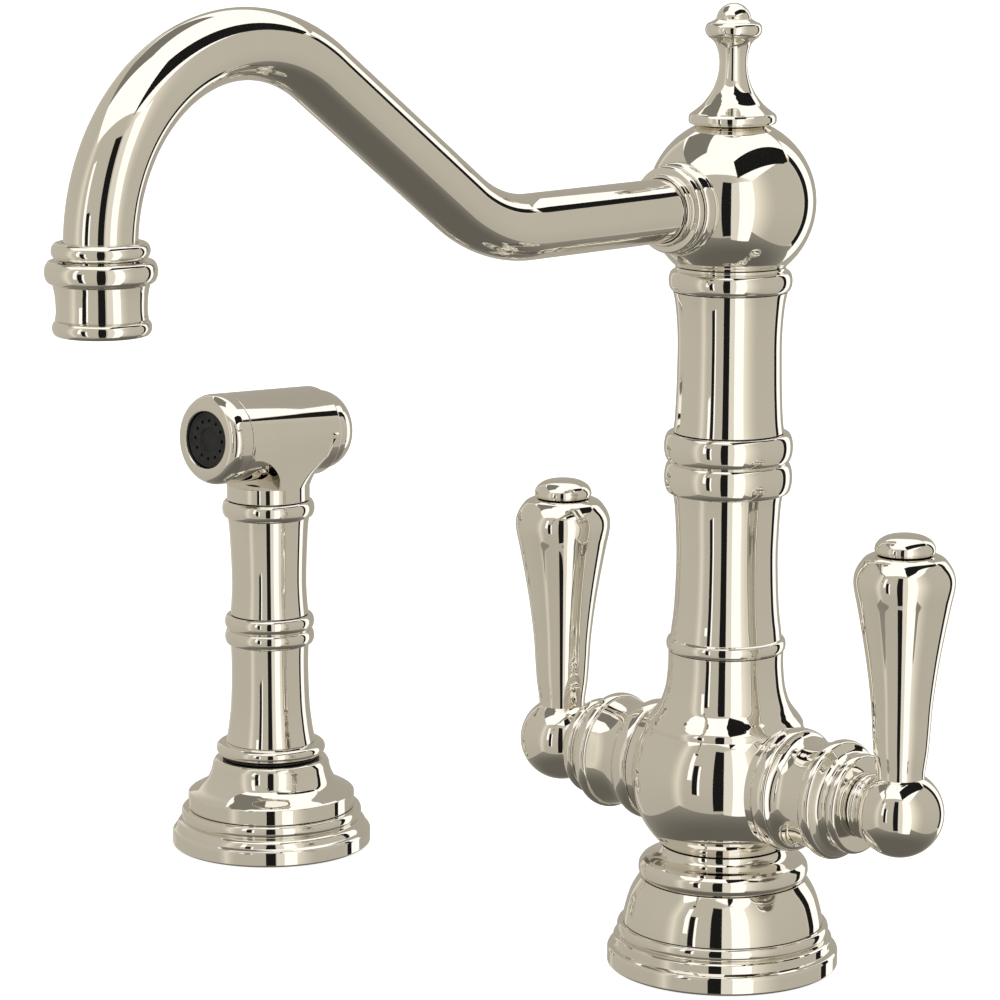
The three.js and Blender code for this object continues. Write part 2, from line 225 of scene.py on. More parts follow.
def level_panel(name, azimuth, height, corners, strength, tint=NEUTRAL):
    """A card or softbox that lies level at that height."""
    flat = [(x, y, height) for x, y in corners]
    stage_quad(name, flat, studio_matrix(azimuth), emission_material(name, strength, tint))


def local_coordinate(tree, axis):
    split = node(tree, "ShaderNodeSeparateXYZ")
    tree.links.new(node(tree, "ShaderNodeTexCoord").outputs["Object"], split.inputs[0])
    return split.outputs[axis]


def darker_below(tree, strength):
    """Walls lose light towards the floor."""
    depth = math_node(tree, "MULTIPLY", local_coordinate(tree, "Z"), -1.0)
    share = paint(tree, 1.0, WALL_FOOT, step_up(tree, depth, 0.12, 0.34))
    return math_node(tree, "MULTIPLY", strength, share)


def wall_strength(tree):
    """Walls are a little lighter towards the room's corners."""
    along = math_node(tree, "ABSOLUTE", local_coordinate(tree, "Y"))
    return darker_below(tree, paint(tree, WALL, WALL_CORNER, step_up(tree, along, 0.66, 0.24)))


def front_wall_strength(tree):
    """The wall beside the camera catches more of the softbox on its right."""
    along = local_coordinate(tree, "Y")
    right = paint(tree, WALL, WALL_CORNER, step_up(tree, along, 0.40, 0.30))
    left = math_node(tree, "MULTIPLY", along, -1.0)
    return darker_below(tree, paint(tree, right, WALL_CORNER, step_up(tree, left, 0.66, 0.20)))


def right_wall_strength(tree):
    """The right-hand wall is lightest where it starts beside the softbox."""
    along = local_coordinate(tree, "Y")
    near = math_node(tree, "MULTIPLY", along, -1.0)
    base = paint(tree, WALL, WALL_CORNER, step_up(tree, near, 0.48, 0.34))
    return darker_below(tree, paint(tree, base, WALL_CORNER, step_up(tree, along, 0.64, 0.20)))


def floor_strength(tree):
    """The studio's floor is lighter towards the walls."""
    across = math_node(tree, "POWER", local_coordinate(tree, "X"), 2.0)
    along = math_node(tree, "POWER", local_coordinate(tree, "Y"), 2.0)
    far = math_node(tree, "SQRT", math_node(tree, "ADD", across, along))
    return paint(tree, FLOOR_MIDDLE, FLOOR_EDGE, step_up(tree, far, 0.62, 0.36))


def make_room():
    """Four walls, a floor and a lit ceiling, which only reflections see."""
    half = ROOM_HALF
    strengths = (front_wall_strength, right_wall_strength, WALL_FAR, wall_strength)
    for i, strength in enumerate(strengths):
        name = f"studio_wall_{i}"
        upright_panel(name, ROOM_TURN + 90 * i, half, -half, half, ROOM_FLOOR, ROOM_TOP, strength, WARM)
    square = [(-half, -half), (half, -half), (half, half), (-half, half)]
    level_panel("studio_floor", ROOM_TURN, ROOM_FLOOR, square, floor_strength, WARM)
    level_panel("studio_ceiling", ROOM_TURN, ROOM_TOP, square, SOFTBOX)


def make_panels():
    """Softboxes and black and grey cards inside the room, which give the polished metal its stripes."""
    overhead = [(0.20, -0.24), (0.517, -0.51), (0.517, 0.74), (0.20, 0.68)]
    behind = [(0.25, -0.22), (0.70, -0.45), (0.70, 0.42), (0.25, 0.20)]
    level_panel("flag_overhead", 50, PANEL_TOP, overhead, BLACK)
    level_panel("grey_overhead", -118, 0.84, behind, GREY, WARM)
    upright_panel("flag_front", -17, 0.66, 0.0, 0.165, PANEL_FOOT, 0.64, BLACK)
    upright_panel("softbox_front", 17, 0.53, -0.093, 0.093, PANEL_FOOT, SOFTBOX_TOP, SOFTBOX)
    upright_panel("softbox_front_side", 17, 0.531, -0.203, -0.093, PANEL_FOOT, SOFTBOX_TOP, SOFTBOX_SIDE,
                  CREAM)
    upright_panel("strip_dark", -17, 0.68, -0.326, -0.236, -0.10, 0.345, BLACK)
    upright_panel("strip_left", -17, 0.68, -0.425, -0.340, 0.11, 0.60, SOFTBOX)
    upright_panel("strip_right", -17, 0.68, -0.232, -0.198, -0.10, 0.33, SOFTBOX)
    upright_panel("flag_right", 117, 0.88, -0.08, 0.08, PANEL_FOOT, PANEL_TOP, BLACK)
    upright_panel("softbox_back", 132, 0.74, -0.125, 0.125, PANEL_FOOT, PANEL_TOP, SOFTBOX)


def make_world():
    world = bpy.data.worlds.new("studio")
    bpy.context.scene.world = world
    world.use_nodes = True
    world.node_tree.nodes["Background"].inputs["Color"].default_value = (1, 1, 1, 1)
    world.node_tree.nodes["Background"].inputs["Strength"].default_value = 1.0


def make_floor():
    """The pale ground that the object stands on."""
    half = GROUND_HALF
    corners = [(-half, -half, 0), (half, -half, 0), (half, half, 0), (-half, half, 0)]
    mesh = bpy.data.meshes.new("floor")
    mesh.from_pydata(corners, [], [(0, 1, 2, 3)])
    floor = bpy.data.objects.new("floor", mesh)
    floor.location.z = -GROUND_DROP
    bpy.context.scene.collection.objects.link(floor)
    material = bpy.data.materials.new("floor_pale")
    material.use_nodes = True
    shader = material.node_tree.nodes["Principled BSDF"]
    shader.inputs["Base Color"].default_value = (GROUND_GREY, GROUND_GREY, GROUND_GREY, 1)
    shader.inputs["Roughness"].default_value = 0.9
    shader.inputs["Specular IOR Level"].default_value = 0.0
    shader.inputs["Emission Color"].default_value = (1, 1, 1, 1)
    shader.inputs["Emission Strength"].default_value = GROUND_GLOW
    mesh.materials.append(material)
    floor.visible_glossy = False


def make_key_light():
    data = bpy.data.lights.new("key", "AREA")
    data.shape = "RECTANGLE"
    data.size = KEY_SIZE
    data.size_y = KEY_SIZE
    data.energy = KEY_ENERGY
    light = bpy.data.objects.new("key", data)
    light.location = KEY_PLACE
    light.rotation_euler = (KEY_AIM - KEY_PLACE).to_track_quat("-Z", "Y").to_euler()
    light.visible_glossy = False
    bpy.context.scene.collection.objects.link(light)


# --- materials ------------------------------------------------------------------------------------

def shader_material(name, metallic, **inputs):
    material = bpy.data.materials.new(name)
    material.use_nodes = True
    shader = material.node_tree.nodes["Principled BSDF"]
    shader.inputs["Metallic"].default_value = metallic
    for key, value in inputs.items():
        shader.inputs[key.replace("_", " ")].default_value = value
    return material, material.node_tree, shader


def noise(tree, scale, detail=3.0, stretch=(1, 1, 1)):
    place = node(tree, "ShaderNodeMapping")
    place.inputs["Scale"].default_value = stretch
    tree.links.new(node(tree, "ShaderNodeTexCoord").outputs["Object"], place.inputs["Vector"])
    made = node(tree, "ShaderNodeTexNoise")
    made.inputs["Scale"].default_value = scale
    made.inputs["Detail"].default_value = detail
    tree.links.new(place.outputs["Vector"], made.inputs["Vector"])
    return made.outputs["Fac"]


def vary_colour(tree, shader, fac, dark, light):
    ramp = node(tree, "ShaderNodeValToRGB")
    ramp.color_ramp.elements[0].position = 0.3
    ramp.color_ramp.elements[0].color = (*dark, 1)
    ramp.color_ramp.elements[1].position = 0.7
    ramp.color_ramp.elements[1].color = (*light, 1)
    tree.links.new(fac, ramp.inputs["Fac"])
    tree.links.new(ramp.outputs["Color"], shader.inputs["Base Color"])


def vary_roughness(tree, shader, fac, low, high):
    spread = node(tree, "ShaderNodeMapRange")
    tree.links.new(fac, spread.inputs["Value"])
    spread.inputs["From Min"].default_value = 0.3
    spread.inputs["From Max"].default_value = 0.7
    spread.inputs["To Min"].default_value = low
    spread.inputs["To Max"].default_value = high
    tree.links.new(spread.outputs["Result"], shader.inputs["Roughness"])


def add_bump(tree, shader, fac, strength, depth):
    bump = node(tree, "ShaderNodeBump")
    bump.inputs["Strength"].default_value = strength
    bump.inputs["Distance"].default_value = depth
    tree.links.new(fac, bump.inputs["Height"])
    tree.links.new(bump.outputs["Normal"], shader.inputs["Normal"])


def nickel():
    """Polished nickel plate: a mirror with a warm tint, faint cloudiness and hairline polishing marks."""
    material, tree, shader = shader_material("polished_nickel", 1.0)
    vary_colour(tree, shader, noise(tree, 35), (0.845, 0.818, 0.758), (0.872, 0.848, 0.790))
    vary_roughness(tree, shader, noise(tree, 120, 5), 0.012, 0.045)
    add_bump(tree, shader, noise(tree, 900, 2, (1, 1, 0.15)), 0.05, 0.00002)
    return material


def brass():
    material, tree, shader = shader_material("brass", 1.0)
    vary_colour(tree, shader, noise(tree, 90), (0.62, 0.43, 0.17), (0.74, 0.54, 0.25))
    vary_roughness(tree, shader, noise(tree, 300, 5, (1, 1, 0.1)), 0.22, 0.4)
    add_bump(tree, shader, noise(tree, 1600, 2, (0.1, 0.1, 1)), 0.2, 0.00005)
    return material


def stainless():
    material, tree, shader = shader_material("stainless", 1.0)
    vary_colour(tree, shader, noise(tree, 140), (0.52, 0.52, 0.51), (0.62, 0.62, 0.61))
    vary_roughness(tree, shader, noise(tree, 400, 4, (1, 1, 0.1)), 0.2, 0.34)
    add_bump(tree, shader, noise(tree, 2000, 2, (0.1, 0.1, 1)), 0.15, 0.00004)
    return material


def rubber():
    material, tree, shader = shader_material("black_rubber", 0.0, Specular_IOR_Level=0.3)
    vary_colour(tree, shader, noise(tree, 180), (0.012, 0.012, 0.013), (0.028, 0.028, 0.029))
    vary_roughness(tree, shader, noise(tree, 600, 4), 0.62, 0.85)
    add_bump(tree, shader, noise(tree, 2400, 3), 0.3, 0.00006)
    return material


def black_plastic():
    material, tree, shader = shader_material("black_plastic", 0.0, Specular_IOR_Level=0.35)
    vary_colour(tree, shader, noise(tree, 260), (0.006, 0.0065, 0.0075), (0.014, 0.015, 0.017))
    vary_roughness(tree, shader, noise(tree, 700, 4), 0.36, 0.52)
    add_bump(tree, shader, noise(tree, 3000, 3), 0.2, 0.00004)
    return material


def white_plastic():
    material, tree, shader = shader_material("white_plastic", 0.0, Subsurface_Weight=0.05)
    vary_colour(tree, shader, noise(tree, 90), (0.68, 0.67, 0.63), (0.78, 0.77, 0.73))
    vary_roughness(tree, shader, noise(tree, 500, 4), 0.35, 0.5)
    add_bump(tree, shader, noise(tree, 2200, 3), 0.15, 0.00004)
    return material


def ceramic():
    material, tree, shader = shader_material("ceramic", 0.0)
    vary_colour(tree, shader, noise(tree, 120), (0.78, 0.76, 0.70), (0.88, 0.86, 0.80))
    vary_roughness(tree, shader, noise(tree, 500, 4), 0.12, 0.25)
    add_bump(tree, shader, noise(tree, 2600, 3), 0.08, 0.00002)
    return material


# --- outlines -------------------------------------------------------------------------------------

def arc(radius, height, size, start, end, steps=24):
    turns = [math.radians(start + (end - start) * i / steps) for i in range(steps + 1)]
    return [(radius + size * math.cos(a), height + size * math.sin(a)) for a in turns]


def bead(root, peak, low, high, steps=20):
    turns = [math.pi * (i / steps - 0.5) for i in range(steps + 1)]
    middle, half = (low + high) / 2, (high - low) / 2
    return [(root + (peak - root) * math.cos(a), middle + half * math.sin(a)) for a in turns]


def between(p, q, r, s, t):
    """The curve's value at t from q to r, with p and s its neighbours."""
    square = (2 * p - 5 * q + 4 * r - s) * t * t
    cube = (3 * q - p - 3 * r + s) * t ** 3
    return 0.5 * (2 * q + (r - p) * t + square + cube)


def flow(points, steps=8):
    """A smooth curve through the points."""
    ends = [points[0], *points, points[-1]]
    out = []
    for near in zip(ends, ends[1:], ends[2:], ends[3:]):
        for i in range(steps):
            out.append(tuple(between(*values, i / steps) for values in zip(*near)))
    return [*out, points[-1]]


def straight_bore(radius, low, high):
    return [(radius, low), (radius, high)]


def eased(points, closed, size):
    """The outline with each of its corners rounded over."""
    points = [p for i, p in enumerate(points) if i == 0 or math.dist(p, points[i - 1]) > 1e-4]
    if closed and math.dist(points[0], points[-1]) < 1e-4:
        points.pop()
    out = []
    count = len(points)
    for i, here in enumerate(points):
        if not closed and i in (0, count - 1):
            out.append(here)
            continue
        before, after = points[i - 1], points[(i + 1) % count]
        a = Vector(before) - Vector(here)
        b = Vector(after) - Vector(here)
        if a.angle(b) > math.pi - SHARP_TURN:
            out.append(here)
            continue
        reach = min(size, 0.45 * a.length, 0.45 * b.length)
        q = Vector(here)
        p = q + a.normalized() * reach
        r = q + b.normalized() * reach
        for k in range(EASE_STEPS + 1):
            t = k / EASE_STEPS
            out.append(tuple(p * (1 - t) ** 2 + q * 2 * t * (1 - t) + r * t * t))
    return out


# --- meshes ---------------------------------------------------------------------------------------

AXES = {
    "Z": Matrix.Identity(3),
    "+X": Matrix.Rotation(math.pi / 2, 3, "Y"),
    "-X": Matrix.Rotation(-math.pi / 2, 3, "Y"),
    "-Y": Matrix.Rotation(math.pi / 2, 3, "X"),
    "head front": Matrix.Rotation(math.pi / 2 - HEAD_TILT, 3, "X"),
    "head rear": Matrix.Rotation(-math.pi / 2 - HEAD_TILT, 3, "X"),
}


def outline_normals(points, closed):
    """Normals of an outline that runs anticlockwise round its material, each long side holding its own."""
    count = len(points)
    sides = []
    for i in range(count if closed else count - 1):
        (r0, z0), (r1, z1) = points[i], points[(i + 1) % count]
        sides.append(Vector((z1 - z0, r0 - r1)))
    out = []
    for i in range(count):
        near = [sides[i - 1]] if i > 0 or closed else []
        near += [sides[i]] if i < len(sides) else []
        total = sum((s * s.length for s in near), Vector((0, 0)))
        out.append(total.normalized() if total.length else near[-1].normalized())
    return out


def lathe(points, closed, axis="Z", at=(0, 0, 0), segments=ROUND):
    """Vertices, faces and vertex normals of a turned shape, in metres."""
    turn = AXES[axis]
    shift = Vector(at)
    verts, normals, rows = [], [], []
    for (radius, height), (nr, nz) in zip(points, outline_normals(points, closed)):
        if radius < 1e-5:
            rows.append([len(verts)] * segments)
            verts.append((shift + turn @ Vector((0, 0, height))) * MM)
            normals.append(turn @ Vector((0, 0, math.copysign(1, nz))))
            continue
        rows.append(list(range(len(verts), len(verts) + segments)))
        for k in range(segments):
            a = 2 * math.pi * k / segments
            verts.append((shift + turn @ Vector((radius * math.cos(a), radius * math.sin(a), height))) * MM)
            normals.append(turn @ Vector((nr * math.cos(a), nr * math.sin(a), nz)))
    faces = []
    pairs = list(zip(rows, rows[1:] + rows[:1])) if closed else list(zip(rows, rows[1:]))
    for low, high in pairs:
        for k in range(segments):
            j = (k + 1) % segments
            corner = [low[k], low[j], high[j], high[k]]
            faces.append(list(dict.fromkeys(corner)))
    return verts, faces, normals


def make_object(name, parts, material):
    """One object from one or more shells of vertices, faces and normals."""
    verts, faces, normals = [], [], []
    for part_verts, part_faces, part_normals in parts:
        base = len(verts)
        verts += part_verts
        normals += part_normals
        faces += [[base + i for i in face] for face in part_faces]
    mesh = bpy.data.meshes.new(name)
    mesh.from_pydata([tuple(v) for v in verts], [], faces)
    mesh.materials.append(material)
    mesh.shade_smooth()
    mesh.update()
    mesh.normals_split_custom_set_from_vertices([tuple(n.normalized()) for n in normals])
    made = bpy.data.objects.new(name, mesh)
    bpy.context.scene.collection.objects.link(made)
    return made


def body_of(cad_node):
    groups = frame["record"]["behaviour"]["bodies"]
    return next(body for body, members in groups.items() if cad_node in members)


def slot_of(cad_node):
    return next(s["material_slot"] for s in frame["record"]["subparts"] if s["node"] == cad_node)


def place(piece, cad_node):
    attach(piece, body_of(cad_node))
    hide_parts(cad_node)


def closed_outline(outer, bore):
    return eased([*outer, *reversed(bore)], True, FINE_EDGE)


def solid_outline(outer):
    ends = [(0, outer[0][1]), *outer, (0, outer[-1][1])]
    return eased(ends, False, FINE_EDGE)


def fine_piece(cad_node, shells):
    """A piece of one or more shells that stands for a CAD node."""
    piece = make_object("fine_" + cad_node, shells, MATERIALS[slot_of(cad_node)])
    place(piece, cad_node)


def turned(cad_node, outer, bore=None, axis="Z", at=(0, 0, 0), extra=()):
    """A turned piece that stands for a CAD node. With a bore it is hollow, otherwise it is solid."""
    if bore:
        shell = lathe(closed_outline(outer, bore), True, axis, at)
    else:
        shell = lathe(solid_outline(outer), False, axis, at)
    fine_piece(cad_node, [shell, *extra])


# --- mixer base, body and column ------------------------------------------------------------------

def make_base():
    band_part = [(35.3, 0), (36.1, 0.7), (36.1, 5.0), (35.7, 5.8), (34.9, 6.2)]
    step = [(34.2, 6.5), (34.2, 9.0), (33.6, 9.5), (32.6, 9.7)]
    flange = [*band_part, *step, *bead(32.2, 33.1, 9.8, 13.6)]
    under = [(24.5, 0), (24.5, 13.6)]
    groove = [(27, 0), (27, 2.5), (31, 2.5), (31, 0)]
    outline = eased([*flange, *reversed(under), *groove], True, FINE_EDGE)
    fine_piece("base_flange", [lathe(outline, True)])
    turned("base_gasket", bead(30.0, 30.7, 0, 2.3), straight_bore(27.4, 0, 2.3))

    dome = flow([(31.3, 13.75), (31.1, 15.4), (30.6, 17.8), (29.9, 20.4), (29, 23), (27.7, 25.5),
                 (26.0, 28.1)])
    turned("base_dome", dome, [(27, 13.75), (25.4, 21), (21.5, 28.1)])

    rim = [(25.4, 28.2), *flow([(25.9, 28.7), (26.35, 29.8), (26.45, 31), (26.2, 32.6), (25.3, 33.9)])]
    neck = flow([(24.3, 34.5), (22.2, 35.1), (20.7, 36.0), (19.8, 37.2), (19.4, 38.5)])
    turned("base_collar", [*rim, *neck], straight_bore(COLUMN_BORE, 28.2, 38.5))


def make_mixer_body():
    start = -math.degrees(math.acos(BASE_NECK_R / BULB_R))
    bulb = arc(0, BULB_Z, BULB_R, start, 33, 60)
    flare = flow([bulb[-1], (24.2, 78), (22.9, 80), (21.4, 81.9), (20.1, 83.9), (19.2, 86.3), (18.5, 89),
                  (18.1, 92), (COLUMN_FOOT_R, 96), (COLUMN_FOOT_R, 100.5)])
    outer = [*bulb, *flare[1:]]
    bosses = []
    for axis in ("+X", "-X"):
        outline = closed_outline([(18.3, 18), (18.3, 24.9)], straight_bore(PORT_BORE, 18, 24.9))
        bosses.append(lathe(outline, True, axis, (0, 0, PORT_Z)))
    turned("mixer_body", outer, straight_bore(COLUMN_BORE, bulb[0][1], 100.5), extra=bosses)


def make_column():
    foot = bead(17.7, 18.45, 100.7, 104.4)
    lower = flow([(17.2, 104.8), (16.85, 108), (16.45, 111), (16.05, 116), (15.7, 124), (15.6, 131),
                  (15.8, 137), (16.05, 142), (16.4, 146.5), (16.95, 149.8)])
    turned("column_lower", [*foot, *lower], straight_bore(COLUMN_BORE, 100.7, 149.8))

    rings = [*bead(18.1, 19.65, 150, 159.5), *bead(18.1, 19.76, 159.7, 168.7)]
    turned("column_middle_collar", rings, straight_bore(COLUMN_BORE, 150, 168.7))

    upper = flow([(17.0, 168.9), (16.6, 172), (16.35, 176), (16.1, 182), (15.95, 189), (15.88, 195),
                  (16.0, 200), (16.35, 205), (16.85, 209), (17.5, 212)])
    turned("column_upper", upper, straight_bore(UPPER_BORE, 168.9, 212))

    top = [*bead(17.4, 18.84, 212.2, 218.5), (16.9, 218.9), (16.85, 219.6)]
    turned("column_top_collar", top, straight_bore(UPPER_BORE, 212.2, 219.6))


# --- spout ----------------------------------------------------------------------------------------

def spout_route():
    """Points of the tube's centre line as (distance in front of the column, height)."""
    bend_start = CORNER - BEND_R * math.tan(SLOPE / 2)
    bend = arc(bend_start, SPOUT_Z + BEND_R, BEND_R, -90, -90 + math.degrees(SLOPE), 24)
    over = arc(REACH - CROWN_R, CROWN_Z, CROWN_R, 90 + math.degrees(SLOPE), 0, 96)
    return [(TUBE_START, SPOUT_Z), (TUBE_LEVEL, SPOUT_Z), *bend, *over, (REACH, TUBE_END)]


def tube_shell(route, radius, flip):
    """The tube's outside along its route, or its inside when flipped."""
    segments = TUBE_SEGMENTS
    verts, normals, faces = [], [], []
    for i, (front, height) in enumerate(route):
        before = Vector(route[max(i - 1, 0)])
        after = Vector(route[min(i + 1, len(route) - 1)])
        ahead = (after - before).normalized()
        side = Vector((1, 0, 0))
        lift = Vector((0, ahead.y, ahead.x))
        for k in range(segments):
            a = 2 * math.pi * k / segments
            out = side * math.cos(a) + lift * math.sin(a)
            verts.append((Vector((0, -front, height)) + out * radius) * MM)
            normals.append(-out if flip else out)
    for i in range(len(route) - 1):
        for k in range(segments):
            j = (k + 1) % segments
            low, high = i * segments, (i + 1) * segments
            face = [low + k, low + j, high + j, high + k]
            faces.append(face[::-1] if flip else face)
    return verts, faces, normals


def make_spout_tube():
    route = spout_route()
    outer = tube_shell(route, TUBE_R, False)
    inner = tube_shell(route, TUBE_R - TUBE_WALL, True)
    count = len(outer[0])
    last = count - TUBE_SEGMENTS
    rims = []
    for k in range(TUBE_SEGMENTS):
        j = (k + 1) % TUBE_SEGMENTS
        rims.append([j, k, count + k, count + j])
        rims.append([last + k, last + j, count + last + j, count + last + k])
    faces = outer[1] + [[count + i for i in face] for face in inner[1]] + rims
    fine_piece("spout_tube", [(outer[0] + inner[0], faces, outer[2] + inner[2])])


def make_spout_head():
    low = -math.degrees(math.acos(BALL_FOOT_R / BALL_R))
    high = math.degrees(math.acos(BALL_CROWN_R / BALL_R))
    ball = arc(0, BALL_Z, BALL_R, low, high, 72)
    foot = (BALL_FOOT_R, BALL_Z - math.sqrt(BALL_R ** 2 - BALL_FOOT_R ** 2))
    outer = [(16.85, 219.9), foot, *ball]
    turned("spout_ball", outer, straight_bore(9.9, 219.9, ball[-1][1]))

    seat = bead(12.6, 14.0, 22.6, 27.9)
    turned("spout_seat_ring", seat, straight_bore(TUBE_SOCKET, 22.6, 27.9), "-Y", (0, 0, SPOUT_Z))
    lock = [*bead(12.2, 13.1, 28.2, 31.0), (10.95, 31.15), *bead(10.3, 10.85, 31.3, 33.3, 10)]
    turned("spout_lock_ring", lock, straight_bore(TUBE_SOCKET, 28.2, 33.3), "-Y", (0, 0, SPOUT_Z))


def make_finial():
    disc = [(3, 252.5), (3, 262.6), (12.3, 262.6), (13.0, 262.9), (13.3, 263.6), (13.3, 265.0),
            (12.9, 265.8)]
    flare = flow([(12.4, 266.1), (10.7, 267.4), (9.3, 268.6), (8.3, 269.8), (7.4, 271), (6.4, 272.5),
                  (5.4, 274.7), (4.66, 277.2), (4.25, 280), (4.3, 282.5), (4.7, 284.6), (5.4, 286.6),
                  (6.45, 287.9), (7.7, 288.8)])
    knob = [*bead(7.2, 8.6, 288.9, 293.1), *arc(0, 293.6, 5.35, 6, 90, 24)]
    turned("finial", [*disc, *flare, *knob])


def make_nozzle():
    at = (0, -REACH, 0)
    collar = bead(10.9, 12.64, 243.9, 248.3)
    turned("nozzle_collar", collar, straight_bore(TUBE_SOCKET, 243.9, 248.3), at=at)

    lip = bead(11.3, 12.7, 224.5, 228.5)
    waist = flow([(11.9, 228.8), (11.7, 230), (11.66, 231.5), (11.75, 233.5), (12.0, 235.6),
                  (12.45, 237.6)])
    shoulder = bead(12.9, 14.42, 237.9, 243.6)
    socket = [(10.2, 224.5), (10.2, 238), (8.4, 238), (8.4, 239.4), (TUBE_SOCKET, 239.4),
              (TUBE_SOCKET, 243.6)]
    turned("nozzle_housing", [*lip, *waist, *shoulder], socket, at=at)

    insert = [(8.2, 226.6), (8.7, 225.4), (9.8, 225.4), (9.8, 235.3)]
    turned("aerator_insert", insert, at=at)
    turned("aerator_washer", bead(9.4, 9.8, 235.7, 237.5), straight_bore(7.6, 235.7, 237.5), at=at)


# --- handles --------------------------------------------------------------------------------------

def make_handle(prefix, axis, side):
    port = (0, 0, PORT_Z)
    ring_bore = [(15.4, 25.0), (15.4, 27), (11.6, 27), (11.6, 30.3)]
    turned(f"{prefix}_port_ring", bead(18.3, 19.15, 25.0, 30.3), ring_bore, axis, port)

    cone = flow([(18.2, 30.4), (17.2, 31.3), (16.5, 32.6), (16.15, 34.2), (16.1, 35.8), (16.4, 38),
                 (16.9, 40.4), (17.3, 42.2)])
    ring = bead(17.2, 18.4, 42.4, 46.7)
    slope = flow([(16.6, 47.0), (15.2, 47.8), (14.5, 49.0), (14.3, 50.0)])
    nose = [*bead(14.2, 15.35, 50.3, 54.1), (10.5, 54.4)]
    seat = [(11, 30.4), (11, 50), (4.9, 50), (4.9, 54.4)]
    turned(f"{prefix}_bonnet", [*cone, *ring, *slope, *nose], seat, axis, port)

    collar = [(9.2, 54.7), *bead(9.3, 10.0, 54.9, 57.1, 12), (9.1, 57.5)]
    start = -math.degrees(math.acos(HUB_NECK_R / HUB_R))
    sphere = arc(0, LEVER_X, HUB_R, start, 90, 56)
    hub = [(4.4, 63.8), (4.4, 54.7), *collar, *sphere]
    turned(f"{prefix}_lever_hub", hub, None, axis, port)

    at = (side * LEVER_X, 0, 0)
    stem = flow([(7.3, 71.6), (7.45, 74), (7.9, 77.3), (8.3, 80.5), (8.75, 87), (9.1, 92.7), (9.7, 98.5),
                 (10.4, 103.9), (11.2, 109.2), (12.2, 115), (13.2, 120.4), (14.1, 125), (14.75, 128),
                 (15.12, 130.6), (15.0, 133), (14.35, 135), (13.3, 136.8), (11.9, 138.5), (10.2, 139.4)])
    crown = [(8.2, 139.7), (2.6, 139.7), (2.6, 135.4)]
    turned(f"{prefix}_lever_arm", [(3, 66.4), (3, 71.6), *stem, *crown], at=at)

    dome = [(8.5, 139.9), *flow([(8.95, 140.4), (9.1, 141.2), (8.75, 142.6), (7.6, 144.0), (5.6, 145.1),
                                 (3.0, 145.65), (0.0, 145.8)])]
    turned(f"{prefix}_lever_cap", [(2.2, 135.8), (2.2, 139.9), *dome], at=at)


# --- hand spray -----------------------------------------------------------------------------------

def make_spray_holder():
    at = (SPRAY_X, 0, 0)
    band_part = [(33.8, 0), (34.5, 0.6), (34.5, 4.9), (34.1, 5.6), (33.5, 5.9)]
    step = flow([(33.2, 6.2), (33.05, 7.0), (32.4, 8.2), (31.3, 8.9)])
    outer = [*band_part, *step, *bead(30.5, 31.4, 9.2, 13.2)]
    groove = [(25.5, 0), (25.5, 2.5), (29.5, 2.5), (29.5, 0)]
    outline = eased([*outer, (22, 13.2), (22, 0), *groove], True, FINE_EDGE)
    fine_piece("spray_base_flange", [lathe(outline, True, "Z", at)])
    turned("spray_base_gasket", bead(28.6, 29.2, 0, 2.3), straight_bore(25.9, 0, 2.3), at=at)

    wall = [(28.9, 13.35), (28.9, 18.4)]
    throat = flow([(28.4, 18.9), (27.0, 19.7), (24.8, 20.8), (23.3, 21.8), (22.2, 23), (21.2, 25),
                   (20.5, 27.2)])
    lip = [(20.3, 28.6), (20.0, 29.4), (19.4, 30.4), (18.8, 30.8)]
    turned("spray_holder_bell", [*wall, *throat, *lip], straight_bore(15.2, 13.35, 30.8), at=at)

    sleeve = [(14.8, 2), (14.8, 31), (16.8, 31), (16.8, 31.8)]
    turned("spray_guide_sleeve", sleeve, straight_bore(13.1, 2, 31.8), at=at)


def make_spray_handle():
    at = (SPRAY_X, 0, 0)

    def stacked(cad_node, outer):
        turned(cad_node, outer, straight_bore(HANDLE_BORE, outer[0][1], outer[-1][1]), at=at)

    stacked("spray_ferrule", [(12.6, 6), (12.6, 32.1), *bead(17.2, 18.9, 32.1, 36.3), (15.6, 36.6)])
    lower = flow([(15.5, 36.65), (14.75, 40.5), (14.2, 44.5), (13.8, 48), (13.55, 52), (13.35, 58),
                  (13.3, 65), (13.5, 71.2)])
    stacked("spray_handle_lower", lower)
    stacked("spray_middle_ring", [*bead(14.2, 15.45, 71.4, 76.5), *bead(14.2, 15.45, 76.7, 81.7)])
    upper = flow([(13.5, 81.9), (13.1, 86.5), (12.85, 92), (12.95, 99), (13.25, 106), (13.6, 112),
                  (14.05, 115.9)])
    stacked("spray_handle_upper", upper)
    stacked("spray_neck_ring", bead(14.5, 15.9, 116.1, 121.9))


